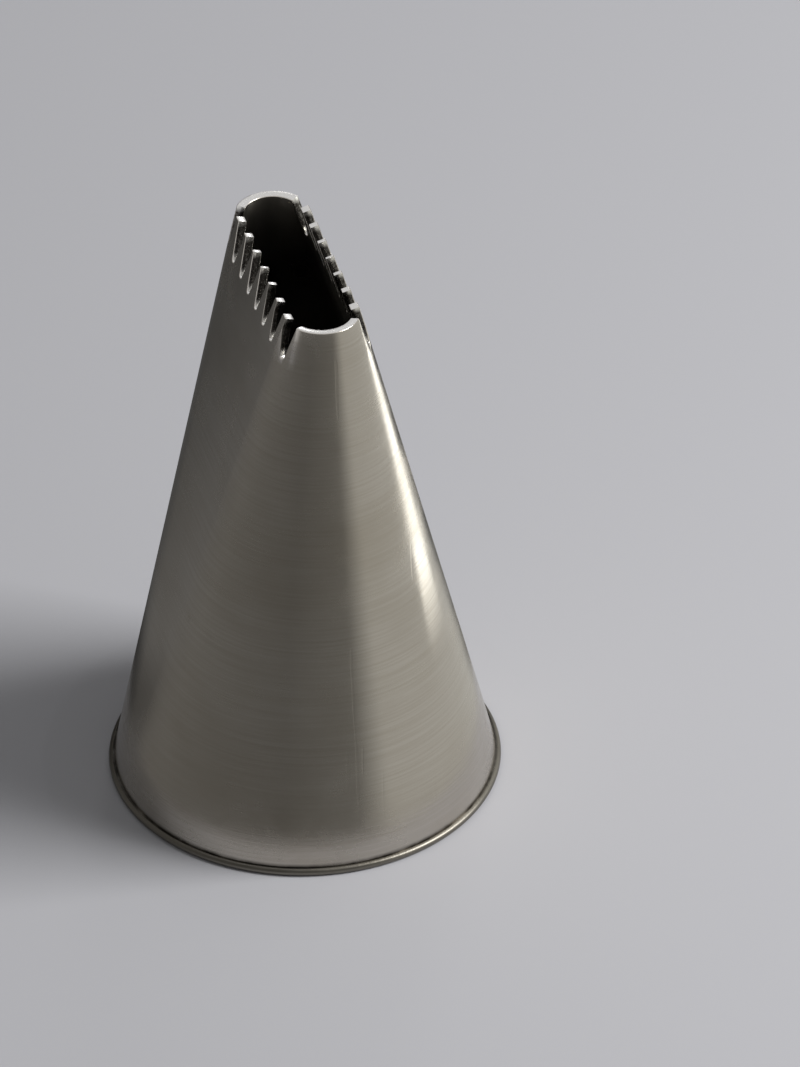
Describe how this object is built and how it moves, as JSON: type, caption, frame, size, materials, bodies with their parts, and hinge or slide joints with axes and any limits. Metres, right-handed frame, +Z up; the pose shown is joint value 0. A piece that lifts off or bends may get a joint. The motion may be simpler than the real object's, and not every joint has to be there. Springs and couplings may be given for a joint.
{
  "type": "basket-weave piping nozzle",
  "caption": "Small sheet-metal icing tube, round at the base and pressed to a long narrow mouth with V-notch teeth along its long edges.",
  "frame": {"origin": "centre of the wide rim's flat bottom edge, on the surface that the nozzle stands on", "axes": "+Z up the nozzle towards the mouth; the mouth is long along X; its two toothed edges face -Y and +Y"},
  "size_m": [0.018, 0.018, 0.0271],
  "materials": {
    "polished_plate": "bright polished sheet metal, nickel-plated or stainless steel"
  },
  "bodies": {
    "root": {"nozzle_shell": "polished_plate"}
  },
  "joints": []
}
